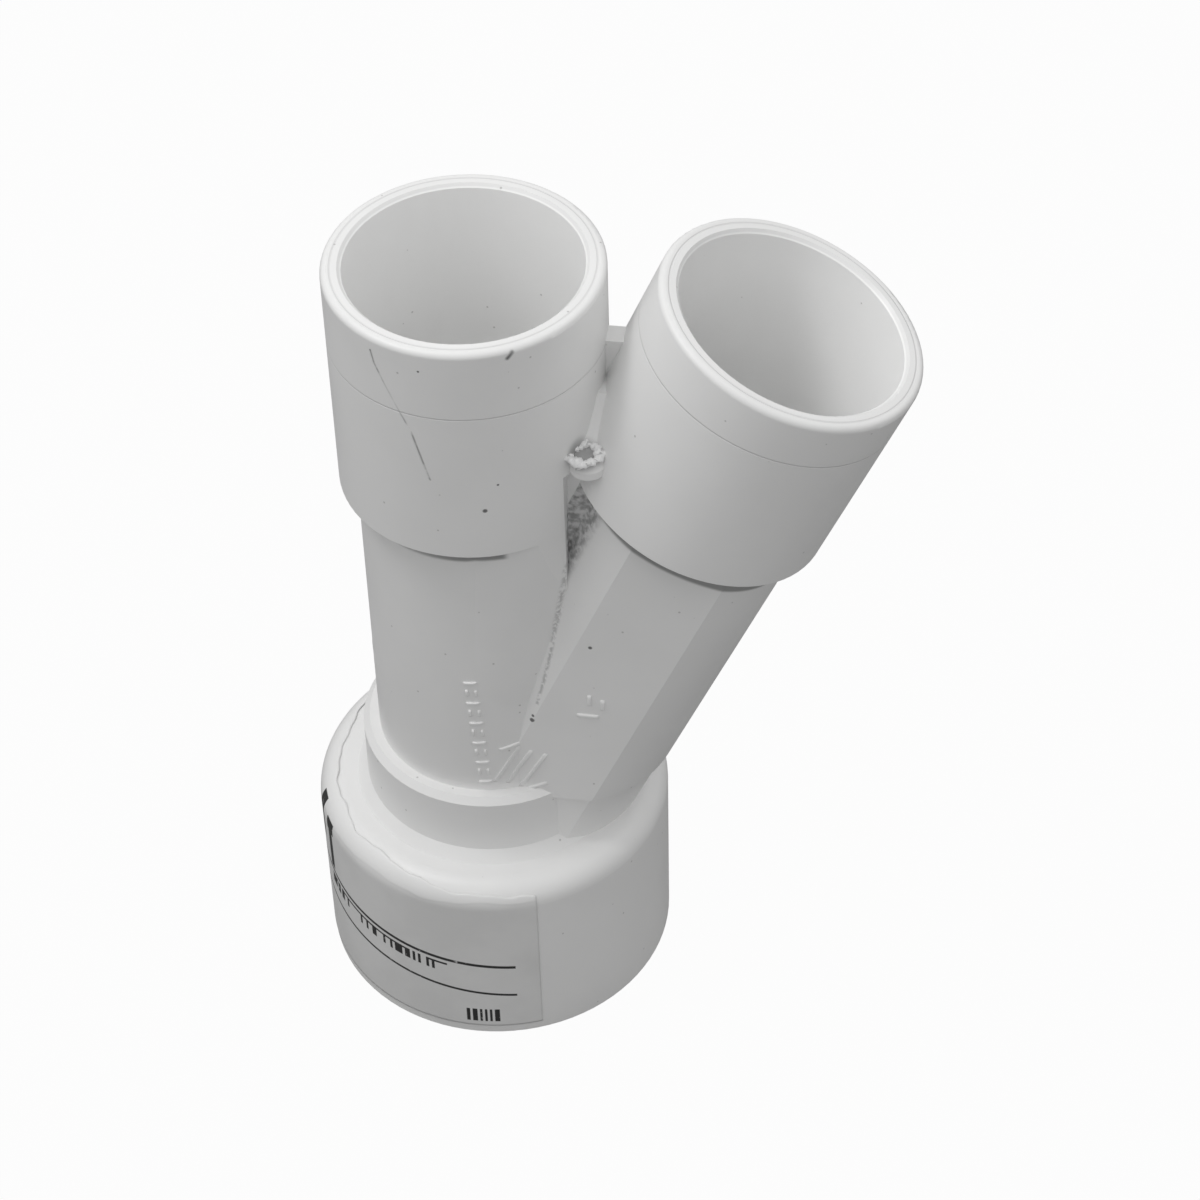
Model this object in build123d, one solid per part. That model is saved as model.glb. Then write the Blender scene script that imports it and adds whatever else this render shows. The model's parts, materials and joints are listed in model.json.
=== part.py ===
from build123d import *
from math import cos, radians, sin, tan
import os

# Lateral wye fitting for solvent-welded PVC pipe, in millimetres.
# The run stands upright on its large base socket. A branch of the same bore as the run leaves
# it at a shallow angle towards +X. The origin is the centre of the base rim, and +Z is the run.

# Run and branch axes
BRANCH_ANGLE = 22.5        # between the run and the branch
AXES_MEET = 34.6           # height of the point where the two axes cross
RUN_FACE = 243.0           # height of the run's rim
BRANCH_FACE = 214.0        # from the crossing to the branch's rim, along the branch

# Upper sockets, the same on the run and on the branch
PIPE_OD = 60.3
PIPE_CLEARANCE = 0.2       # on the diameter
SOCKET_DEPTH = 57.0
SOCKET_WALL = 5.25
RUN_HUB_LENGTH = 68.4
BRANCH_HUB_LENGTH = 61.6
RIM_ROUND = 1.6            # outer edge of each rim
RIM_CHAMFER = 1.0          # lead-in of the two upper bores
HUB_FOOT_CHAMFER = 1.2     # lower edge of each hub

# Barrels between the hubs and the base
WATERWAY = 51.0
BARREL_WALL = 5.5
FLAT_DEPTH = 28.2          # from the middle plane to the flat on the front of the branch's barrel

# Base socket, for the larger pipe below
BASE_PIPE_OD = 88.9
BASE_PIPE_CLEARANCE = 0.3
BASE_SOCKET_DEPTH = 47.6
BASE_WALL = 4.7
BASE_HEIGHT = 60.5         # from the base rim to the top of the shoulder
SHOULDER_ROUND = 7.0
BASE_STOP = 5.4            # width of the ledge that stops the pipe
BOWL_HEIGHT = 12.0         # from that ledge up to the waterways

# Neck between the shoulder and the barrels
LEDGE_HEIGHT = 83.0        # height of the ledge that the barrels stand on
LEDGE_WIDTH = 4.5          # of the ledge round the run's barrel
LEDGE_CHAMFER = 1.8        # outer edge of that ledge
NECK_FLARE = 3.0           # width and height of the flare where the neck stands on the base
TOE_HEIGHT = 79.5          # height of the lower edge of the branch's toe
TOE_STEP = 1.0             # how far the toe stands proud of the wall under it

# Crotch between the two hubs, measured from the height where the hubs part in the middle plane
FILL_START = 112.0         # height where the fillet leaves the run's barrel
FILL_LEAN = 8.0            # lean of that fillet from the run
FILL_OVERLAP = 5.2         # how far up the run's hub it goes
FILL_SETBACK = 0.2         # how far the fillet stays inside the hub's and the barrel's outlines
POCKET_DROP = 18.6         # down to the top of the rough pocket
POCKET_SIDE = 4.8          # from the middle of the crotch to the side of the pocket
POCKET_FLOOR = 17.5        # from the middle plane to the floor of the pocket
SADDLE_DROP = 1.1          # down to the top of the saddle above the pocket
SADDLE_RADIUS = 12.0       # hollow of the saddle
SADDLE_FOOT_DEPTH = 22.0   # from the middle plane to the saddle, at the pocket
SADDLE_TOP_DEPTH = 11.5    # the same, at the saddle's top
WEB_RISE = 10.4            # up to the top of the thin web between the hubs
WEB_THICKNESS = 6.0
GATE_DROP = 12.8           # down to the cut top of the gate
GATE_DEPTH = 19.5          # from the middle plane to the gate's axis
GATE_BASE_RADIUS = 4.8
GATE_TOP_RADIUS = 3.4
GATE_HEIGHT = 2.6          # of the tapered end of the gate
GATE_FOOT = 2.2            # of its straight foot

# Self-adhesive label on the base
LABEL_THICKNESS = 0.25
LABEL_GLUE = 0.05          # layer of adhesive between the base and the label
LABEL_BOTTOM = 3.0         # from the base rim to the label's lower edge
LABEL_OVERLAP = 50.0       # degrees of the shoulder's rounding that the label goes over
LABEL_FIRST = -138.0       # degrees round the base, from -Y towards +X
LABEL_LAST = 23.0

socket_radius = (PIPE_OD + PIPE_CLEARANCE) / 2
hub_radius = socket_radius + SOCKET_WALL
waterway_radius = WATERWAY / 2
barrel_radius = waterway_radius + BARREL_WALL
base_socket_radius = (BASE_PIPE_OD + BASE_PIPE_CLEARANCE) / 2
base_radius = base_socket_radius + BASE_WALL
bowl_radius = base_socket_radius - BASE_STOP
neck_radius = barrel_radius + LEDGE_WIDTH
lean = radians(BRANCH_ANGLE)
hubs_part = AXES_MEET + hub_radius / tan(lean / 2)

branch_frame = Plane(
    origin=(0, 0, AXES_MEET),
    x_dir=(cos(lean), 0, -sin(lean)),
    z_dir=(sin(lean), 0, cos(lean)),
)
standing = (Align.CENTER, Align.CENTER, Align.MIN)
wide = 4 * BRANCH_FACE     # larger than the fitting, for blocks that cut


def post(radius, bottom, top):
    """Solid cylinder about the Z axis between two heights."""
    return Pos(0, 0, bottom) * Cylinder(radius, top - bottom, align=standing)


def cone(bottom_radius, top_radius, bottom, top):
    """Solid cone frustum about the Z axis between two heights."""
    return Pos(0, 0, bottom) * Cone(bottom_radius, top_radius, top - bottom, align=standing)


def above(height):
    """Everything above a height."""
    return Pos(0, 0, height) * Box(wide, wide, wide, align=standing)


def in_front(depth):
    """Everything farther in front of the middle plane than a depth."""
    return Pos(0, -depth, 0) * Box(wide, wide, wide, align=(Align.CENTER, Align.MAX, Align.CENTER))


def hub(face, length):
    """Outside of a socket hub whose rim lies at height face."""
    solid = post(hub_radius, face - length, face)
    solid = chamfer(solid.edges().group_by(Axis.Z)[0], HUB_FOOT_CHAMFER)
    return fillet(solid.edges().group_by(Axis.Z)[-1], RIM_ROUND)


def socket(face):
    """Bore of a socket, with its lead-in, to be cut from an arm."""
    bore = post(socket_radius, face - SOCKET_DEPTH, face)
    lead = cone(socket_radius, socket_radius + RIM_CHAMFER, face - RIM_CHAMFER, face)
    return bore + lead


# Arms: a barrel and a hub on the run, and the same on the branch
run_barrel = post(barrel_radius, LEDGE_HEIGHT - LEDGE_CHAMFER, RUN_FACE - RUN_HUB_LENGTH + HUB_FOOT_CHAMFER)
run_arm = run_barrel + hub(RUN_FACE, RUN_HUB_LENGTH)

branch_barrel = post(barrel_radius, 0, BRANCH_FACE - BRANCH_HUB_LENGTH + HUB_FOOT_CHAMFER)
branch_barrel = branch_barrel - in_front(FLAT_DEPTH)
branch_arm = branch_frame * (branch_barrel + hub(BRANCH_FACE, BRANCH_HUB_LENGTH))
branch_arm = branch_arm & above(TOE_HEIGHT)

# Base hub with its rounded shoulder
base = post(base_radius, 0, BASE_HEIGHT)
base = fillet(base.edges().group_by(Axis.Z)[-1], SHOULDER_ROUND)

# Neck: an upright ring round the run, and the branch's wall set back under its toe
neck = post(neck_radius, BASE_HEIGHT - SHOULDER_ROUND, LEDGE_HEIGHT)
neck = chamfer(neck.edges().group_by(Axis.Z)[-1], LEDGE_CHAMFER)
neck = neck + cone(neck_radius + NECK_FLARE, neck_radius, BASE_HEIGHT, BASE_HEIGHT + NECK_FLARE)
branch_root = post(barrel_radius - TOE_STEP, 0, TOE_HEIGHT) - in_front(FLAT_DEPTH - TOE_STEP)
branch_root = branch_frame * branch_root
branch_root = branch_root & above(BASE_HEIGHT - SHOULDER_ROUND)
branch_root = branch_root - above(TOE_HEIGHT)


def crotch(height, depth):
    """Point midway between the two axes, at a height and a distance in front of the middle plane."""
    return Vector((height - AXES_MEET) * tan(lean / 2), -depth, height)


def front_block(left, right, depth, bottom, top):
    """Block from the middle plane forwards, between two distances from the run's axis."""
    block = Box(right - left, depth, top - bottom, align=(Align.MIN, Align.MAX, Align.MIN))
    return Pos(left, 0, bottom) * block


# Crotch: a fillet on the run's side, cut off at the side of the rough pocket
pocket_top = hubs_part - POCKET_DROP
pocket_side = crotch(pocket_top, 0).X - POCKET_SIDE
fill_top = RUN_FACE - RUN_HUB_LENGTH + FILL_OVERLAP
fill = post(barrel_radius - FILL_SETBACK, -barrel_radius, RUN_FACE)
fill = Pos(0, 0, FILL_START) * Rot(0, FILL_LEAN, 0) * fill
fill = fill & post(hub_radius - FILL_SETBACK, FILL_START, fill_top)
pocket = front_block(pocket_side, 2 * hub_radius, 2 * hub_radius, FILL_START, pocket_top)
pocket = pocket - front_block(0, 3 * hub_radius, POCKET_FLOOR, FILL_START, pocket_top)
run_arm = (run_arm + fill) - pocket

# Crotch: the floor of the pocket, and the thin web that reaches into the walls of both hubs
web_top = hubs_part + WEB_RISE
web_end = (web_top - AXES_MEET) * tan(lean) - (hub_radius - SOCKET_WALL / 2) / cos(lean)
floor = front_block(0, web_end, POCKET_FLOOR, FILL_START, pocket_top)
web = Pos(0, WEB_THICKNESS / 2, 0) * front_block(0, web_end, WEB_THICKNESS, FILL_START, web_top)

# Crotch: the saddle, hollowed by a round that leans back, and the cut gate that stands on it
saddle_top = hubs_part - SADDLE_DROP
saddle_foot_axis = crotch(pocket_top, SADDLE_FOOT_DEPTH + SADDLE_RADIUS)
saddle_top_axis = crotch(saddle_top, SADDLE_TOP_DEPTH + SADDLE_RADIUS)
saddle_left = saddle_foot_axis.X - SADDLE_RADIUS
saddle_right = saddle_top_axis.X + SADDLE_RADIUS
saddle = front_block(saddle_left, saddle_right, SADDLE_TOP_DEPTH + SADDLE_RADIUS, pocket_top, saddle_top)
saddle_plane = Plane(origin=saddle_foot_axis, z_dir=saddle_top_axis - saddle_foot_axis)
saddle = saddle - saddle_plane * Cylinder(SADDLE_RADIUS, hub_radius * 4)
gate_top = crotch(hubs_part - GATE_DROP, GATE_DEPTH)
gate_cone = Cone(GATE_BASE_RADIUS, GATE_TOP_RADIUS, GATE_HEIGHT, align=standing)
gate_foot = Cylinder(GATE_BASE_RADIUS, GATE_FOOT, align=standing)
gate = Pos(gate_top) * Pos(0, 0, -GATE_HEIGHT) * gate_cone
gate = gate + Pos(gate_top) * Pos(0, 0, -GATE_HEIGHT - GATE_FOOT) * gate_foot

outside = run_arm + branch_arm + base + neck + branch_root + floor + web + saddle + gate

# Inside: three sockets, two waterways and the bowl that joins them over the base socket
bowl_bottom = BASE_SOCKET_DEPTH
bowl = cone(bowl_radius, waterway_radius, bowl_bottom, bowl_bottom + BOWL_HEIGHT)
run_way = post(waterway_radius, bowl_bottom, RUN_FACE)
branch_way = (branch_frame * post(waterway_radius, 0, BRANCH_FACE)) & above(bowl_bottom)
base_bore = post(base_socket_radius, 0, BASE_SOCKET_DEPTH)
inside = bowl + run_way + branch_way + base_bore
inside = inside + socket(RUN_FACE) + branch_frame * socket(BRANCH_FACE)

wye_body = outside - inside

# Label: one thin skin up the side of the base and over the start of the shoulder's rounding
turn = radians(LABEL_OVERLAP)
rounding_centre = (base_radius - SHOULDER_ROUND, BASE_HEIGHT - SHOULDER_ROUND)
glue_radius = SHOULDER_ROUND + LABEL_GLUE
skin_radius = glue_radius + LABEL_THICKNESS


def on_rounding(radius, angle):
    """Point in the XZ plane at an angle above the level, about the rounding's centre."""
    return (rounding_centre[0] + radius * cos(angle), 0, rounding_centre[1] + radius * sin(angle))


label_inner_foot = (base_radius + LABEL_GLUE, 0, LABEL_BOTTOM)
label_outer_foot = (base_radius + LABEL_GLUE + LABEL_THICKNESS, 0, LABEL_BOTTOM)
label_edges = [
    Line(label_inner_foot, on_rounding(glue_radius, 0)),
    ThreePointArc(
        on_rounding(glue_radius, 0),
        on_rounding(glue_radius, turn / 2),
        on_rounding(glue_radius, turn),
    ),
    Line(on_rounding(glue_radius, turn), on_rounding(skin_radius, turn)),
    ThreePointArc(
        on_rounding(skin_radius, turn),
        on_rounding(skin_radius, turn / 2),
        on_rounding(skin_radius, 0),
    ),
    Line(on_rounding(skin_radius, 0), label_outer_foot),
    Line(label_outer_foot, label_inner_foot),
]
label_profile = make_face(label_edges)
hub_label = revolve(label_profile, Axis.Z, LABEL_LAST - LABEL_FIRST)
hub_label = Rot(0, 0, LABEL_FIRST - 90) * hub_label

os.makedirs("parts", exist_ok=True)
export_step(wye_body, "parts/wye_body.step")
export_step(hub_label, "parts/hub_label.step")
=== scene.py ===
# %% [markdown]
# # A lateral wye fitting in white PVC
# The fitting is one moulding: a run that stands on a wide base socket, and a branch that
# leaves the run at a shallow angle. The moulding itself comes from the CAD model and only
# gets its finish here. What is made here is what the mould, the snapped sprue and the printer
# leave on it: small raised mould marks, the torn skin of the gate, and the label on the base.

import json
import math

import bpy
import numpy as np
from mathutils import Euler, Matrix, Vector


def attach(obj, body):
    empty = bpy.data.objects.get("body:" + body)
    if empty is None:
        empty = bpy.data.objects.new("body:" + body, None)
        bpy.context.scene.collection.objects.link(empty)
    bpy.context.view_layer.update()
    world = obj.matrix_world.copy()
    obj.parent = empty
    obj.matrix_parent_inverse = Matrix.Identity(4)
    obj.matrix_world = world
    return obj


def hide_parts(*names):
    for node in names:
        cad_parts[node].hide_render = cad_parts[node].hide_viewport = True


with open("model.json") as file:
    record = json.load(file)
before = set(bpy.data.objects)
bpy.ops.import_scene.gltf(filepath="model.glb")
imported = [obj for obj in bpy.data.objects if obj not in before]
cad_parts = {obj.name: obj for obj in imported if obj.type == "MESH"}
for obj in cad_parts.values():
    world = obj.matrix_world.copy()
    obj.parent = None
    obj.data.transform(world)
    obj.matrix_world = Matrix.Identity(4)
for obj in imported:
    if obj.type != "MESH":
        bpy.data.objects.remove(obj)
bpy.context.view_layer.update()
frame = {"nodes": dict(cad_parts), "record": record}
body = frame["nodes"]["wye_body"]
sockets = {mount["name"]: mount for mount in frame["record"]["mounts"]}
branch_way = Vector(sockets["branch_socket"]["axis"]).normalized()

# %% [markdown]
# ## Where things are
# The run's axis is the Z axis. The branch's axis crosses it low down, inside the base. On both
# arms a point is given by its distance along the axis and its angle round it, and the angle
# is measured from the front (-Y) towards +X.

# %% Places and sizes, in metres
HUB_RADIUS = 0.0355
BARREL_RADIUS = 0.031
BASE_RADIUS = 0.0493
BASE_HEIGHT = 0.0605
SHOULDER_ROUND = 0.007
FLAT_DEPTH = 0.0282
RUN_RIM = 0.243
BRANCH_RIM = 0.214
CROSSING = Vector((0.0, 0.0, 0.0346))
GATE_TOP = Vector((0.0322, -0.0202, 0.2004))
branch_side = Vector((branch_way.z, 0.0, -branch_way.x))
print("the branch leans", round(math.degrees(math.acos(branch_way.z)), 2), "degrees from the run")


def on_run(angle, along, radius=HUB_RADIUS):
    """Point at an angle in degrees and a height, at a distance from the run's axis."""
    turn = math.radians(angle)
    return Vector((radius * math.sin(turn), -radius * math.cos(turn), along))


def on_flat(across, along):
    """Point on the flat front of the branch's barrel, across and along the branch."""
    return CROSSING + branch_way * along + branch_side * across - Vector((0.0, FLAT_DEPTH, 0.0))


# %% [markdown]
# ## Node helpers
# Every finish below is a small tree of shader nodes. These helpers keep the trees readable:
# one starts a finish, one adds a node, one fills an input, and the others are a Math node, a
# smooth step, a colour mix, fractal noise and a bump.

# %% Helpers for shader nodes
def new_finish(name):
    """A material with nodes; returns it, its tree and its Principled shader."""
    material = bpy.data.materials.new(name)
    material.use_nodes = True
    return material, material.node_tree, material.node_tree.nodes["Principled BSDF"]


def grey(level, less_blue=0.0):
    """A neutral colour of one level, with a little less blue where it is warm."""
    return (level, level, level - less_blue, 1.0)


def add(tree, kind, **settings):
    """A new node of one kind in a tree, with its settings."""
    node = tree.nodes.new(kind)
    for name, value in settings.items():
        setattr(node, name, value)
    return node


def put(tree, target, value):
    """Links a socket into an input, or sets the input where the value is plain."""
    if isinstance(value, bpy.types.NodeSocket):
        tree.links.new(value, target)
    else:
        target.default_value = value


def maths(tree, operation, *values, clamp=False):
    """The output of one Math node: operation applied to the values."""
    node = add(tree, "ShaderNodeMath", operation=operation, use_clamp=clamp)
    for target, value in zip(node.inputs, values):
        put(tree, target, value)
    return node.outputs[0]


def times(tree, first, *others):
    """Product of masks."""
    for other in others:
        first = maths(tree, "MULTIPLY", first, other)
    return first


def most(tree, first, *others):
    """Largest of several masks."""
    for other in others:
        first = maths(tree, "MAXIMUM", first, other)
    return first


def ramp(tree, value, low, high, bottom=0.0, top=1.0):
    """Smooth step: bottom below low, top above high, and an S-curve between them."""
    node = add(tree, "ShaderNodeMapRange", interpolation_type="SMOOTHSTEP")
    for target, given in zip(node.inputs, (value, low, high, bottom, top)):
        put(tree, target, given)
    return node.outputs[0]


def between(tree, value, low, high, soft=0.00012):
    """1 where a value lies between two limits, with soft edges."""
    rise = ramp(tree, value, low - soft, low + soft)
    return times(tree, rise, ramp(tree, value, high - soft, high + soft, 1.0, 0.0))


def mix(tree, factor, first, second):
    """Colour mix: first where the factor is 0, second where it is 1."""
    node = add(tree, "ShaderNodeMix", data_type="RGBA")
    put(tree, node.inputs[0], factor)
    put(tree, node.inputs[6], first)
    put(tree, node.inputs[7], second)
    return node.outputs[2]


def noise(tree, place, scale, detail=3.0):
    """Value of fractal noise at a place; scale is in features per metre."""
    node = add(tree, "ShaderNodeTexNoise")
    put(tree, node.inputs["Vector"], place)
    node.inputs["Scale"].default_value = scale
    node.inputs["Detail"].default_value = detail
    return node.outputs["Fac"]


def add_bump(tree, shader, height, strength, distance):
    """Bump of a height mask on a shader; distance is how tall a height of 1 stands."""
    bump = add(tree, "ShaderNodeBump")
    bump.inputs["Strength"].default_value = strength
    bump.inputs["Distance"].default_value = distance
    put(tree, bump.inputs["Height"], height)
    put(tree, shader.inputs["Normal"], bump.outputs["Normal"])


def dot(tree, first, second):
    """Dot product of two vectors."""
    node = add(tree, "ShaderNodeVectorMath", operation="DOT_PRODUCT")
    put(tree, node.inputs[0], first)
    put(tree, node.inputs[1], second)
    return node.outputs["Value"]


def minus(tree, first, second):
    """Difference of two vectors."""
    node = add(tree, "ShaderNodeVectorMath", operation="SUBTRACT")
    put(tree, node.inputs[0], first)
    put(tree, node.inputs[1], second)
    return node.outputs[0]


# %% [markdown]
# ## Shared effects
# Traces of the same kind turn up in several places, so each kind is a node group that is built
# once: the place of a point about an axis, a soft spot, and a soft stroke along a segment.

# %% Groups for places, spots and strokes
def new_group(name, inputs, outputs):
    """Empty shader group, with its input and output nodes."""
    group = bpy.data.node_groups.new(name, "ShaderNodeTree")
    for title, kind in inputs.items():
        group.interface.new_socket(name=title, in_out="INPUT", socket_type="NodeSocket" + kind)
    for title in outputs:
        group.interface.new_socket(name=title, in_out="OUTPUT", socket_type="NodeSocketFloat")
    return group, add(group, "NodeGroupInput").outputs, add(group, "NodeGroupOutput").inputs


# About an axis: Along = (p - origin) . axis, and Away = sqrt(|p - origin|^2 - Along^2).
axis_group, given, result = new_group(
    "about an axis", {"Place": "Vector", "Origin": "Vector", "Axis": "Vector"}, ("Along", "Away")
)
offset = minus(axis_group, given["Place"], given["Origin"])
along = dot(axis_group, offset, given["Axis"])
reach = dot(axis_group, offset, offset)
away = maths(axis_group, "SUBTRACT", reach, times(axis_group, along, along))
put(axis_group, result["Along"], along)
put(axis_group, result["Away"], maths(axis_group, "SQRT", away))

# Spot: 1 at the centre, falling to 0 at Radius.
spot_group, given, result = new_group(
    "spot", {"Place": "Vector", "Centre": "Vector", "Radius": "Float"}, ("Mask",)
)
offset = minus(spot_group, given["Place"], given["Centre"])
reach = maths(spot_group, "SQRT", dot(spot_group, offset, offset))
half = maths(spot_group, "MULTIPLY", given["Radius"], 0.5)
put(spot_group, result["Mask"], ramp(spot_group, reach, half, given["Radius"], 1.0, 0.0))

# Stroke: t = clamp((p - start) . run / |run|^2), and the mask falls with |p - start - t run|.
stroke_group, given, result = new_group(
    "stroke",
    {"Place": "Vector", "Start": "Vector", "Run": "Vector", "Width": "Float"},
    ("Mask",),
)
offset = minus(stroke_group, given["Place"], given["Start"])
length = dot(stroke_group, given["Run"], given["Run"])
share = maths(stroke_group, "DIVIDE", dot(stroke_group, offset, given["Run"]), length, clamp=True)
foot = add(stroke_group, "ShaderNodeVectorMath", operation="SCALE")
put(stroke_group, foot.inputs[0], given["Run"])
put(stroke_group, foot.inputs["Scale"], share)
miss = minus(stroke_group, offset, foot.outputs[0])
miss = maths(stroke_group, "SQRT", dot(stroke_group, miss, miss))
put(stroke_group, result["Mask"], ramp(stroke_group, miss, 0.0, given["Width"], 1.0, 0.0))


def group_node(tree, group, **values):
    """A group placed in a tree, with its own input values; returns its outputs."""
    node = add(tree, "ShaderNodeGroup", node_tree=group)
    for name, value in values.items():
        put(tree, node.inputs[name], value)
    return node.outputs


def stroke(tree, place, start, end, width):
    """Mask of a soft stroke between two points."""
    values = dict(Place=place, Start=tuple(start), Run=tuple(end - start), Width=width)
    return group_node(tree, stroke_group, **values)["Mask"]


def spot(tree, place, centre, radius):
    """Mask of a soft spot."""
    return group_node(tree, spot_group, Place=place, Centre=tuple(centre), Radius=radius)["Mask"]


# %% [markdown]
# ## The moulded plastic
# White PVC from a polished mould is satin: highlights are soft, and handling leaves faint
# cloudy patches in the sheen. Round each arm run the lines where mould inserts met, and the
# crease under each hub gets a painted shadow. The pocket in the crotch was never polished, and
# its grey is partly painted shade.

# %% Base look of the PVC
pvc, tree, shader = new_finish("white PVC")
place = add(tree, "ShaderNodeTexCoord").outputs["Object"]
axes = add(tree, "ShaderNodeSeparateXYZ")
put(tree, axes.inputs[0], place)
x, y, z = axes.outputs
run = group_node(tree, axis_group, Place=place, Origin=(0, 0, 0), Axis=(0, 0, 1))
branch = group_node(tree, axis_group, Place=place, Origin=tuple(CROSSING), Axis=tuple(branch_way))
clouds = noise(tree, place, 26.0, 4.0)
colour = mix(tree, ramp(tree, clouds, 0.32, 0.68), grey(0.835, 0.005), grey(0.865, 0.005))

# %% [markdown]
# ### Lines, and painted shadow in the creases
# An arm's own traces must not show on the other arm, so each mask is multiplied by another
# that reads the distance from its own axis. The painted shadow under a hub is a strip of the
# barrel that starts a little below the hub's foot, and it fades out round the back.

# %% Masks of the mould's lines, and of the painted shadow in the creases
RUN_LINE = 0.2222
BRANCH_LINE = 0.2000
LINE_HALF = 0.00018
GROOVE = (0.03290, 0.03325)
BARREL_INSIDE = (FLAT_DEPTH - 0.0010, FLAT_DEPTH - 0.0004)
BARREL_OUTSIDE = (BARREL_RADIUS + 0.0018, BARREL_RADIUS + 0.0024)
RUN_CREASE = 0.1702
BRANCH_CREASE = 0.1472
CREASE_RISE = 0.0022
RUN_FOOT = (0.1775, 0.1785)
BRANCH_FOOT = (0.1560, 0.1570)


def arm_masks(arm, rim, line, crease):
    """Masks of an arm: its mould line, the groove in its rim, and painted shadow on the barrel
    under its hub.
    """
    on_hub = between(tree, arm["Away"], HUB_RADIUS - 0.0012, HUB_RADIUS + 0.0004)
    seam = times(tree, between(tree, arm["Along"], line - LINE_HALF, line + LINE_HALF), on_hub)
    groove = between(tree, arm["Away"], *GROOVE, LINE_HALF)
    groove = times(tree, groove, ramp(tree, arm["Along"], rim - 0.0012, rim - 0.0006))
    near_barrel = ramp(tree, arm["Away"], *BARREL_OUTSIDE, 1.0, 0.0)
    near_barrel = times(tree, near_barrel, ramp(tree, arm["Away"], *BARREL_INSIDE))
    under = ramp(tree, maths(tree, "SUBTRACT", arm["Along"], crease), -0.0008, 0.0003)
    return seam, groove, times(tree, under, near_barrel)


# Painted shadow: a strip of darker colour on the barrel just under each hub's foot, weaker towards
# the left.
run_crease = ramp(tree, x, 0.001, 0.017, RUN_CREASE, RUN_CREASE + CREASE_RISE)
run_seam, run_groove, run_painted_shadow = arm_masks(run, RUN_RIM, RUN_LINE, run_crease)
run_painted_shadow = times(tree, run_painted_shadow, ramp(tree, z, *RUN_FOOT, 1.0, 0.0))
run_painted_shadow = times(tree, run_painted_shadow, ramp(tree, x, -0.0260, 0.0020, 0.25, 1.0))

sideways = dot(tree, minus(tree, place, tuple(CROSSING)), tuple(branch_side))
slope = times(tree, sideways, -0.072)
depth = times(tree, maths(tree, "SUBTRACT", branch["Away"], BARREL_RADIUS), 0.6)
branch_crease = maths(tree, "ADD", maths(tree, "ADD", slope, depth), BRANCH_CREASE)
branch_seam, branch_groove, branch_painted_shadow = arm_masks(branch, BRANCH_RIM, BRANCH_LINE, branch_crease)
branch_painted_shadow = times(tree, branch_painted_shadow, ramp(tree, branch["Along"], *BRANCH_FOOT, 1.0, 0.0))

seams = most(tree, run_seam, branch_seam, run_groove, branch_groove)
# front fades the painted shadow out round the back.
front = ramp(tree, y, -0.015, 0.005, 1.0, 0.0)
hub_painted_shadow = times(tree, most(tree, run_painted_shadow, branch_painted_shadow), front)
print("lines and creases on both arms")

# %% [markdown]
# ### The pocket and the painted shade in the valley
# The pocket's mask is a box with soft sides that ends where the branch's hub begins. Below it
# a line of painted shade runs down the valley between the barrels, which is a chain of strokes
# that get thinner towards the bottom. Fractal noise breaks it into dots.

# %% Masks of the pocket and of the painted shade in the valley
POCKET_SIDES = (0.0262, 0.0405)
POCKET_DEPTHS = (-0.0212, -0.0160)
POCKET_HEIGHTS = (0.1560, 0.1950)
HUB_SKIN = (HUB_RADIUS - 0.0003, HUB_RADIUS + 0.0001)
VALLEY_SHADE_WIDTH = 0.0007
VALLEY_SHADE_SPREAD = 0.02
pocket = between(tree, x, *POCKET_SIDES, 0.0004)
pocket = times(tree, pocket, between(tree, y, *POCKET_DEPTHS, 0.0014))
pocket = times(tree, pocket, between(tree, z, *POCKET_HEIGHTS, 0.0012))
pocket = times(tree, pocket, ramp(tree, branch["Away"], *HUB_SKIN, 1.0, 0.0))

# Painted shade along the valley between the barrels, given as points in mm.
valley_shade_in_mm = [(28.2, -18.6, 167.4), (26.9, -22.9, 162.8), (25.8, -23.8, 154.9)]
valley_shade_in_mm += [(23.9, -24.1, 143.2), (22.3, -25.9, 132.8), (20.6, -26.9, 124.5)]
valley_shade_in_mm += [(18.5, -27.8, 116.0)]
valley_shade = [Vector(point) / 1000 for point in valley_shade_in_mm]
valley_painted_shade = spot(tree, place, valley_shade[0], 0.0012)
for start, end in zip(valley_shade, valley_shade[1:]):
    width = VALLEY_SHADE_WIDTH + VALLEY_SHADE_SPREAD * (start.z - valley_shade[-1].z)
    valley_painted_shade = most(tree, valley_painted_shade, stroke(tree, place, start, end, width))
valley_painted_shade = times(tree, valley_painted_shade, ramp(tree, noise(tree, place, 900.0, 2.0), 0.38, 0.58))
print("crack of", len(valley_shade) - 1, "strokes")

# %% [markdown]
# ### Handling marks
# A long thin scratch crosses the run's hub, and a few nicks and dark specks are scattered
# where the fitting was knocked. Cells of a Voronoi texture give the smallest specks.

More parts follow.
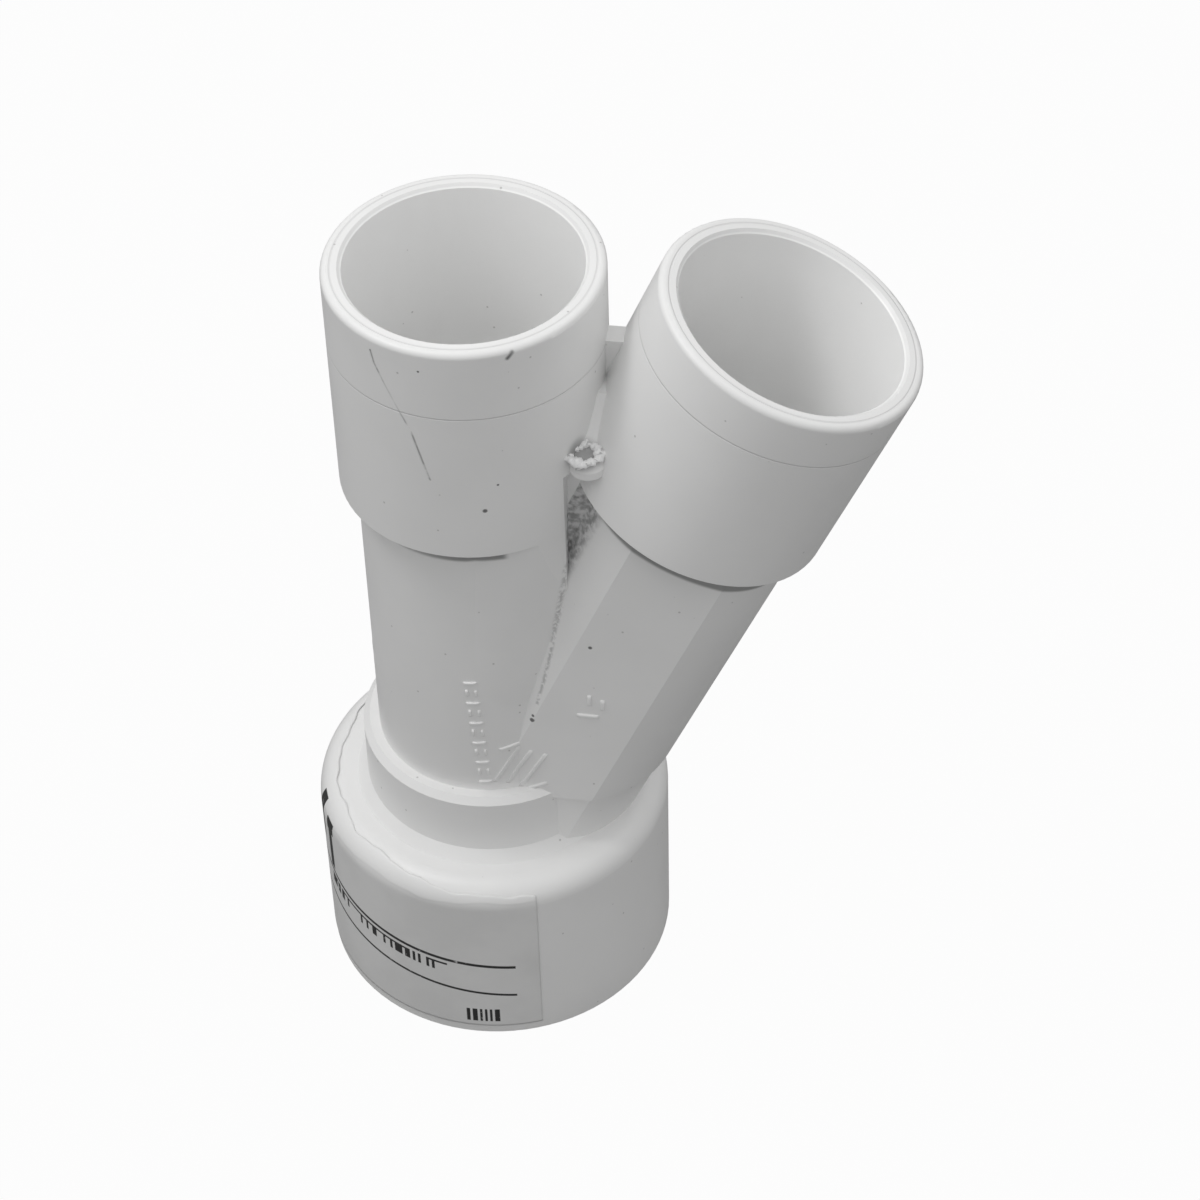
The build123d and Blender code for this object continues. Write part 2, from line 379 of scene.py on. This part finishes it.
# %% Scratches, nicks and specks
SCRATCH_WIDTH = 0.00045
scratch_points = [on_run(-29.8, 0.2388), on_run(-28.3, 0.2351)]
scratch_points += [on_run(-13.4, 0.2166), on_run(-6.8, 0.2016)]
scratches = spot(tree, place, scratch_points[0], 0.0004)
for start, end in zip(scratch_points, scratch_points[1:]):
    scratches = most(tree, scratches, stroke(tree, place, start, end, SCRATCH_WIDTH))
scratches = times(tree, scratches, ramp(tree, noise(tree, place, 300.0), 0.30, 0.55))
nicks = stroke(tree, place, on_run(27.0, 0.2404), on_run(29.0, 0.2418, 0.0352), 0.0009)
for centre, radius in (
    (on_run(-8.5, 0.2369), 0.0004),
    (on_run(14.7, 0.1917), 0.0008),
    (on_run(20.5, 0.2000), 0.0004),
    (Vector((0.0171, -0.0281, 0.1098)), 0.0009),
    (Vector((0.0173, -0.0281, 0.1114)), 0.0006),
    (on_flat(-0.0093, 0.1098), 0.0007),
):
    nicks = most(tree, nicks, spot(tree, place, centre, radius))
cells = add(tree, "ShaderNodeTexVoronoi")
put(tree, cells.inputs["Vector"], place)
cells.inputs["Scale"].default_value = 150.0
specks = ramp(tree, cells.outputs["Distance"], 0.035, 0.060, 1.0, 0.0)
print("scratch of", len(scratch_points) - 1, "strokes")

# %% [markdown]
# ### Putting the plastic together
# The bores get painted light: their colour is whiter than the outside. Specks, scratches and
# nicks darken the colour, as do the painted shadow under the hubs and the painted shade down the
# valley; the pocket turns rough, and its grey is partly painted shade. All lines go into one
# bump, so that they catch the light as real grooves do.

# %% Painted light in the bores
BORE_EDGE = (0.0304, 0.0307)
run_bore = ramp(tree, run["Away"], *BORE_EDGE, 1.0, 0.0)
run_bore = times(tree, run_bore, ramp(tree, z, 0.1500, 0.1510))
branch_bore = ramp(tree, branch["Away"], *BORE_EDGE, 1.0, 0.0)
branch_bore = times(tree, branch_bore, ramp(tree, y, -0.0279, -0.0277))
branch_bore = times(tree, branch_bore, ramp(tree, branch["Along"], 0.0800, 0.0900))
# Painted light: the bores' colour is whiter than the outside.
colour = mix(tree, most(tree, run_bore, branch_bore), colour, grey(0.97, 0.005))

# %% Colour of the PVC
colour = mix(tree, times(tree, specks, 0.40), colour, (0.22, 0.21, 0.20, 1.0))
# Painted shadow on the barrels under the hubs.
colour = mix(tree, times(tree, hub_painted_shadow, 0.72), colour, grey(0.12))
colour = mix(tree, times(tree, seams, 0.22), colour, grey(0.45))
pocket_grain = noise(tree, place, 620.0, 4.0)
# The pocket's darker grey is partly painted shade of the recess, over its own rough grain.
pocket_grain_and_shade = mix(tree, ramp(tree, pocket_grain, 0.35, 0.65), grey(0.34), grey(0.68))
colour = mix(tree, pocket, colour, pocket_grain_and_shade)
colour = mix(tree, spot(tree, place, GATE_TOP, 0.0056), colour, grey(0.42))
# Painted shade down the valley between the barrels.
colour = mix(tree, times(tree, valley_painted_shade, 0.45), colour, grey(0.20))
colour = mix(tree, times(tree, scratches, 0.75), colour, grey(0.20))
colour = mix(tree, times(tree, nicks, 0.85), colour, grey(0.06))
put(tree, shader.inputs["Base Color"], colour)

# %% Sheen and bump of the PVC
sheen = ramp(tree, clouds, 0.3, 0.7, 0.34, 0.44)
roughness = maths(tree, "ADD", sheen, times(tree, pocket, 0.35), clamp=True)
put(tree, shader.inputs["Roughness"], roughness)
height = times(tree, noise(tree, place, 850.0, 2.0), 0.05)
height = maths(tree, "SUBTRACT", height, times(tree, seams, 0.8))
height = maths(tree, "SUBTRACT", height, times(tree, most(tree, scratches, nicks), 0.7))
height = maths(tree, "ADD", height, times(tree, pocket, pocket_grain, 2.4))
add_bump(tree, shader, height, 0.6, 0.00028)
body.data.materials.clear()
body.data.materials.append(pvc)
print("finish:", pvc.name, "with", len(tree.nodes), "nodes")


# %% [markdown]
# ## Closed thin shells
# The label and the mould marks are thin pieces that follow a surface. Each is worked out as
# an outer and an inner grid of points that are joined round their border, so the piece is
# closed and its faces point outwards. Several such patches can go into one mesh.

# %% A smooth piece, and a mesh of closed shells
def smooth_piece(mesh):
    """Shades a mesh smooth and puts it into the scene as a piece that rides on the root."""
    mesh.polygons.foreach_set("use_smooth", np.ones(len(mesh.polygons), bool))
    mesh.update()
    piece = bpy.data.objects.new(mesh.name, mesh)
    bpy.context.scene.collection.objects.link(piece)
    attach(piece, "root")
    return piece


def shells(name, outer, inner, uv=None):
    """Mesh of closed patches, from grids of shape (patches, rows, columns, 3).

    Quad (i, j) of an outer grid joins points (i, j), (i, j+1), (i+1, j+1) and (i+1, j); the
    inner grid's quads are wound the other way, and a strip round the border joins the two.
    """
    count, rows, columns = outer.shape[:3]
    index = np.arange(rows * columns).reshape(rows, columns)
    corners = (index[:-1, :-1], index[:-1, 1:], index[1:, 1:], index[1:, :-1])
    front = np.stack(corners, -1).reshape(-1, 4)
    back = front[:, ::-1] + rows * columns
    rim = np.concatenate([index[0, :], index[1:, -1], index[-1, -2::-1], index[-2:0:-1, 0]])
    following = np.roll(rim, -1)
    side = np.stack([following, rim, rim + rows * columns, following + rows * columns], -1)
    faces = np.concatenate([front, back, side])
    step = 2 * rows * columns
    faces = (faces[None] + step * np.arange(count)[:, None, None]).reshape(-1, 4)
    points = np.concatenate([outer.reshape(count, -1, 3), inner.reshape(count, -1, 3)], 1)
    mesh = bpy.data.meshes.new(name)
    mesh.from_pydata(points.reshape(-1, 3), [], faces.tolist())
    if uv is not None:
        both = np.concatenate([uv.reshape(count, -1, 2)] * 2, 1).reshape(-1, 2)
        layer = mesh.uv_layers.new(name="flat")
        used = np.empty(len(mesh.loops), np.int32)
        mesh.loops.foreach_get("vertex_index", used)
        layer.data.foreach_set("uv", both[used].astype(np.float32).ravel())
    return smooth_piece(mesh)


# %% [markdown]
# ## Raised mould marks
# Moulds carry shallow engraving, which stands proud on the part. The marks here are plain:
# a column of short bars on the run, five slanted bars beside it, and three short bars on the
# flat of the branch. A bar is a pillow: its height is 1 - a^6 times 1 - b^6 over its length
# and width, and it sinks a little into the wall at its foot.

# %% Shape of a bar, and the surfaces that bars stand on
MARK_HEIGHT = 0.00060
SINK = 0.0002
MARK_ROOT = 2 * SINK
across_grid, along_grid = np.meshgrid(np.linspace(-1, 1, 9), np.linspace(-1, 1, 13))
pillow = (1 - across_grid**6) * (1 - along_grid**6)


def bar_grids(bars, surface):
    """Outer and inner grids of bars on a surface.

    A bar is (across, along, turn in degrees, width, length).
    """
    table = np.array(bars, float)[:, :, None, None]
    turn = np.radians(table[:, 2])
    u = across_grid[None] * table[:, 3] / 2
    v = along_grid[None] * table[:, 4] / 2
    across = table[:, 0] + u * np.cos(turn) - v * np.sin(turn)
    along = table[:, 1] + u * np.sin(turn) + v * np.cos(turn)
    outer = surface(across, along, np.broadcast_to(MARK_HEIGHT * pillow - SINK / 2, across.shape))
    inner = surface(across, along, np.full(across.shape, -MARK_ROOT))
    return outer, inner


def front_surface(across, along, lift):
    """Point on the front: the run's barrel, or the flat where that stands prouder."""
    proud = np.maximum(np.sqrt(BARREL_RADIUS**2 - across**2), FLAT_DEPTH)
    return np.stack([across, -proud - lift, along], -1)


def flat_surface(across, along, lift):
    """Point on the flat of the branch's barrel, lifted towards the front."""
    side, way, start = np.array(branch_side), np.array(branch_way), np.array(CROSSING)
    points = start + across[..., None] * side + along[..., None] * way
    points[..., 1] = -FLAT_DEPTH - lift
    return points


# %% Where the bars stand
BAR_WIDTH = 0.0009
HALF_GAP = 0.0012
COLUMN_TURN = 4.0
column = []
for number, height_up in enumerate(np.linspace(0.0865, 0.1250, 11)):
    middle = 0.0042 - 0.066 * (height_up - 0.083)
    if number % 2:
        column.append((middle - HALF_GAP, height_up, COLUMN_TURN, BAR_WIDTH, 0.0026))
        column.append((middle + HALF_GAP, height_up, COLUMN_TURN, BAR_WIDTH, 0.0026))
    else:
        column.append((middle, height_up, COLUMN_TURN, 0.0042, BAR_WIDTH))
slanted = [
    (0.0098, 0.0925, -28.0, 0.0013, 0.0150),
    (0.0132, 0.0915, -28.0, 0.0013, 0.0150),
    (0.0168, 0.0900, -28.0, 0.0013, 0.0165),
    (0.0160, 0.0830, -62.0, 0.0012, 0.0110),
    (0.0108, 0.0995, -75.0, 0.0012, 0.0060),
]
run_marks = shells("run_mould_marks", *bar_grids(column + slanted, front_surface))
branch_bars = [
    (-0.0022, 0.0910, 22.0, 0.0014, 0.0042),
    (0.0016, 0.0910, 22.0, 0.0014, 0.0042),
    (-0.0004, 0.0853, 112.0, 0.0013, 0.0064),
]
branch_marks = shells("branch_mould_marks", *bar_grids(branch_bars, flat_surface))
for marks in (run_marks, branch_marks):
    marks.data.materials.append(pvc)
print("mould marks:", len(column + slanted), "on the run,", len(branch_bars), "on the branch")

# %% [markdown]
# ## The torn skin of the gate
# Where the sprue was snapped off, the plastic whitened and stands up in a crumpled ring round
# the grey, flat break. The ring is a torus: the distance from the gate's axis is the ring's
# radius plus the tube's radius times the cosine of the angle round the tube, and the height is
# the tube's radius times its sine. Sums of sines make the tube uneven.

# %% Torn ring of the gate
RING_RADIUS = 0.0037
TUBE_RADIUS = 0.00105
WAVE = 0.0002
ring_angles = np.linspace(0, 2 * np.pi, 96, endpoint=False)
tube_angles = np.linspace(0, 2 * np.pi, 20, endpoint=False)
around, tube = np.meshgrid(ring_angles, tube_angles)
uneven = 0.30 * np.sin(3 * around + 1.0) + 0.22 * np.sin(7 * around + 2.0)
uneven += 0.16 * np.sin(13 * around)
uneven += 0.14 * np.sin(11 * around + 3 * tube) + 0.10 * np.sin(23 * around - 2 * tube)
tube_radius = TUBE_RADIUS * (1 + 0.8 * uneven)
from_axis = RING_RADIUS + WAVE * np.sin(2 * around + 0.6) + tube_radius * np.cos(tube) * 1.15
above_top = WAVE + tube_radius * np.sin(tube) + WAVE * np.sin(5 * around)
ring_points = np.array(GATE_TOP) + np.stack(
    [from_axis * np.cos(around), from_axis * np.sin(around), above_top], -1
)
index = np.arange(around.size).reshape(around.shape)
next_angle = np.roll(index, -1, 1)
ring_faces = np.stack([index, next_angle, np.roll(next_angle, -1, 0), np.roll(index, -1, 0)], -1)
ring_mesh = bpy.data.meshes.new("torn_gate_ring")
ring_mesh.from_pydata(ring_points.reshape(-1, 3), [], ring_faces.reshape(-1, 4).tolist())
gate_ring = smooth_piece(ring_mesh)
print("gate: a ring of", index.size, "faces")

# %% [markdown]
# ### Whitened plastic
# Stressed PVC turns opaque and whiter, and its skin is rough at the scale of the tears.

# %% Material of the torn ring
torn, tree, shader = new_finish("torn PVC")
place = add(tree, "ShaderNodeTexCoord").outputs["Object"]
tears = noise(tree, place, 700.0, 3.0)
whitened = mix(tree, ramp(tree, tears, 0.30, 0.48), grey(0.50), grey(0.92))
put(tree, shader.inputs["Base Color"], whitened)
shader.inputs["Roughness"].default_value = 0.5
add_bump(tree, shader, tears, 0.8, 0.0004)
ring_mesh.materials.append(torn)
print("finish:", torn.name)

# %% [markdown]
# ## The label
# The label is a strip of thin film, wider than the base's upright side is tall. It was wrapped
# round the base and its upper margin lies loosely over the shoulder's rounding, so its top edge
# is uneven. It is a function of two values: the angle round the base, and the distance climbed
# from the foot of the base.

# %% Surface of the label
LABEL_FIRST = -138.0
LABEL_LAST = 23.0
LABEL_FOOT = 0.003
FILM = 0.00018
GLUE = 0.00006
LOOSE_FROM = 0.0560
LOOSE_OVER = 0.0075
LEAST_LIFT = 0.00008
WAVE_LIFT = 0.00030


def base_profile(climb, lift):
    """Radius and height after climbing the base by a distance: up the side, over, then inwards.

    Up to the start of the rounding the height is the climb. Over the rounding the point moves
    on an arc of the shoulder's radius plus lift, and past it straight inwards.
    """
    straight = BASE_HEIGHT - SHOULDER_ROUND
    turn = np.clip((climb - straight) / SHOULDER_ROUND, 0.0, math.pi / 2)
    beyond = np.maximum(climb - straight - SHOULDER_ROUND * math.pi / 2, 0.0)
    radius = BASE_RADIUS - SHOULDER_ROUND + (SHOULDER_ROUND + lift) * np.cos(turn) - beyond
    height = np.minimum(climb, straight) + (SHOULDER_ROUND + lift) * np.sin(turn)
    return radius, height


# %% [markdown]
# ### The film's loose upper edge
# The top edge is a line through a few points with two small waves on it. Above the side the
# film lifts off the shoulder, by an amount that waves round the base too.

# %% Grid of the label
angles = np.linspace(LABEL_FIRST, LABEL_LAST, 220)
bends = np.radians(angles)
top_edge_in_mm = [(-138, 57.0), (-127, 61.0), (-116, 62.6), (-93, 63.6), (-74, 62.4)]
top_edge_in_mm += [(-63, 62.9), (-48, 61.6), (-31, 62.0), (-21, 60.6), (-12, 59.7)]
top_edge_in_mm += [(-5, 59.0), (8, 58.4), (20, 58.0), (23, 57.2)]
edge_angles, edge_climbs = np.array(top_edge_in_mm, float).T
top_edge = np.interp(angles, edge_angles, edge_climbs / 1000)
top_edge += 0.00028 * np.sin(bends * 17.0) + 0.00015 * np.sin(bends * 41.0 + 1.0)
fraction = np.linspace(0.0, 1.0, 80)[:, None]
climb = LABEL_FOOT + (top_edge - LABEL_FOOT) * fraction
loose = np.clip((climb - LOOSE_FROM) / LOOSE_OVER, 0.0, 1.0) ** 1.6
wave = 0.5 + 0.5 * np.sin(bends * 9.0 + 0.6)
lift = GLUE + loose * (LEAST_LIFT + WAVE_LIFT * wave)
turns = np.broadcast_to(bends, climb.shape)


def around_base(radius, height):
    """Points at the label's angles, as a single patch."""
    return np.stack([radius * np.sin(turns), -radius * np.cos(turns), height], -1)[None]


inner_film = around_base(*base_profile(climb, lift))
outer_film = around_base(*base_profile(climb, lift + FILM))
flat = np.stack([turns * BASE_RADIUS, climb], -1)[None]
label = shells("hub_label_film", outer_film, inner_film, flat)
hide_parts("hub_label")
print("label covers", round(LABEL_LAST - LABEL_FIRST), "degrees of the base")

# %% [markdown]
# ## What is printed on the label
# The print is kept generic: two ruled lines that run slightly downhill, a row of plain upright
# strokes under the upper one, a small block, and heavy bars at the far end. It is drawn by
# arithmetic on the film's own flat coordinates, so it bends with the film. Its upper margin is
# clear film, through which the white of the shoulder shows.

# %% Flat coordinates, and strokes
film, tree, shader = new_finish("label film")
parts = add(tree, "ShaderNodeSeparateXYZ")
put(tree, parts.inputs[0], add(tree, "ShaderNodeUVMap", uv_map="flat").outputs["UV"])
across, up = parts.outputs[0], parts.outputs[1]
place = add(tree, "ShaderNodeTexCoord").outputs["Object"]


def over_angles(first, last):
    """Mask of the film between two angles in degrees round the base."""
    ends = [math.radians(angle) * BASE_RADIUS for angle in (first, last)]
    return between(tree, across, *ends)


def strokes(pitch, share, seed):
    """1 in a random share of the cells of a pitch round the base, and 0 in the others."""
    cell = maths(tree, "FLOOR", maths(tree, "DIVIDE", across, pitch))
    random = add(tree, "ShaderNodeTexWhiteNoise", noise_dimensions="1D")
    put(tree, random.inputs["W"], maths(tree, "ADD", cell, seed))
    return maths(tree, "LESS_THAN", random.outputs["Value"], share)


# %% Ink of the rules, the row and the block
HIGH_SLOPE = 0.100
LOW_SLOPE = 0.118
HIGH_RULE = (0.0295, 0.0306)
LOW_RULE = (0.0176, 0.0185)
ROW = (0.0244, 0.0284)
CAPS = (0.0276, 0.0284)
BLOCK = (0.0050, 0.0104)
high_line = maths(tree, "ADD", up, times(tree, across, HIGH_SLOPE))
low_line = maths(tree, "ADD", up, times(tree, across, LOW_SLOPE))
high_rule = between(tree, high_line, *HIGH_RULE)
low_rule = between(tree, low_line, *LOW_RULE)
rules = times(tree, most(tree, high_rule, low_rule), over_angles(-84, 15))

uprights = times(tree, between(tree, high_line, *ROW), strokes(0.00085, 0.40, 3.0))
caps = times(tree, between(tree, high_line, *CAPS), strokes(0.0031, 0.72, 8.0))
row = times(tree, most(tree, uprights, caps), over_angles(-62, -7.5))
block = times(tree, between(tree, up, *BLOCK), strokes(0.0007, 0.66, 11.0))
block = times(tree, block, over_angles(-2, 9))

# %% Ink of the heavy bars
BAR = (0.0365, 0.0560)
BAR_HEAD = (0.0515, 0.0560)
SHORT_BAR = (0.0430, 0.0585)
bar = times(tree, between(tree, up, *BAR), over_angles(-62.5, -59.2))
bar_head = times(tree, between(tree, up, *BAR_HEAD), over_angles(-63.5, -57.8))
short_bar = times(tree, between(tree, up, *SHORT_BAR), over_angles(-73.0, -68.0))
worn = ramp(tree, noise(tree, place, 600.0, 2.0), 0.16, 0.36)
ink = times(tree, most(tree, rules, row, block, bar, short_bar, bar_head), worn)

# %% Film under the ink
margin_edge = maths(tree, "ADD", up, times(tree, noise(tree, place, 55.0, 2.0), -0.004))
margin = ramp(tree, margin_edge, 0.0536, 0.0542)
crinkle = noise(tree, place, 48.0, 3.0)
paper = mix(tree, ramp(tree, crinkle, 0.35, 0.65), grey(0.735, 0.005), grey(0.785, 0.005))
paper = mix(tree, times(tree, margin, 0.85), paper, grey(0.845, 0.005))
put(tree, shader.inputs["Base Color"], mix(tree, ink, paper, grey(0.022)))
put(tree, shader.inputs["Roughness"], ramp(tree, ink, 0.0, 1.0, 0.40, 0.55))
height = maths(tree, "ADD", noise(tree, place, 150.0, 3.0), times(tree, margin, 0.5))
add_bump(tree, shader, height, 0.35, 0.0003)
label.data.materials.append(film)
print("finish:", film.name)

# %% [markdown]
# ## Floor, light and camera
# The fitting stands on a plain pale floor under a wide soft box, as in a small light tent that
# is open at the bottom. Level faces are brightest, upright ones are even all round, and the
# underside of the branch falls darker. The floor is nearly white to the camera and keeps a
# faint shadow.

# %% Floor
FLOOR_HALF = 3.0
SHOWS_WHITE = 0.97
corners = np.array([(-1, -1, 0), (1, -1, 0), (1, 1, 0), (-1, 1, 0)], float) * FLOOR_HALF
floor_mesh = bpy.data.meshes.new("floor")
floor_mesh.from_pydata(corners, [], [(0, 1, 2, 3)])
floor = bpy.data.objects.new("floor", floor_mesh)
bpy.context.scene.collection.objects.link(floor)
paving, tree, shader = new_finish("pale floor")
shader.inputs["Base Color"].default_value = grey(0.25)
shader.inputs["Roughness"].default_value = 0.9
glow = add(tree, "ShaderNodeEmission")
glow.inputs["Strength"].default_value = 1.0
seen = add(tree, "ShaderNodeLightPath").outputs["Is Camera Ray"]
blend = add(tree, "ShaderNodeMixShader")
put(tree, blend.inputs[0], times(tree, seen, SHOWS_WHITE))
tree.links.new(shader.outputs[0], blend.inputs[1])
tree.links.new(glow.outputs[0], blend.inputs[2])
tree.links.new(blend.outputs[0], tree.nodes["Material Output"].inputs["Surface"])
floor_mesh.materials.append(paving)
print("floor:", 2 * FLOOR_HALF, "m square")

# %% World and lamps
MIDDLE = Vector((0.03, 0.0, 0.12))
world = bpy.data.worlds.new("pale surroundings")
bpy.context.scene.world = world
world.use_nodes = True
surroundings = world.node_tree.nodes["Background"]
surroundings.inputs["Color"].default_value = grey(1.0)
surroundings.inputs["Strength"].default_value = 0.56


def soft_lamp(name, spot_above, size, power):
    """Square area lamp at a place, aimed at the middle of the fitting."""
    data = bpy.data.lights.new(name, "AREA")
    data.size = size
    data.energy = power
    lamp = bpy.data.objects.new(name, data)
    aim = MIDDLE - Vector(spot_above)
    lamp.location = spot_above
    lamp.rotation_euler = aim.to_track_quat("-Z", "Y").to_euler()
    bpy.context.scene.collection.objects.link(lamp)
    print("lamp:", name, power, "W")


soft_lamp("soft box", (0.0, 0.0, 1.25), size=2.8, power=8.0)
soft_lamp("key", (-0.45, -0.10, 1.10), size=0.30, power=2.4)

# %% Camera
CAMERA_TURN = (44.959, 1.125, 8.236)
camera_data = bpy.data.cameras.new("camera")
camera_data.sensor_width = 36.0
camera_data.lens = 103.3
camera = bpy.data.objects.new("camera", camera_data)
camera.location = (0.13793, -0.64408, 0.78249)
camera.rotation_euler = Euler([math.radians(angle) for angle in CAMERA_TURN], "XYZ")
bpy.context.scene.collection.objects.link(camera)
bpy.context.scene.camera = camera
bpy.context.scene.view_settings.view_transform = "Standard"
print("camera:", round(camera_data.lens, 1), "mm lens")
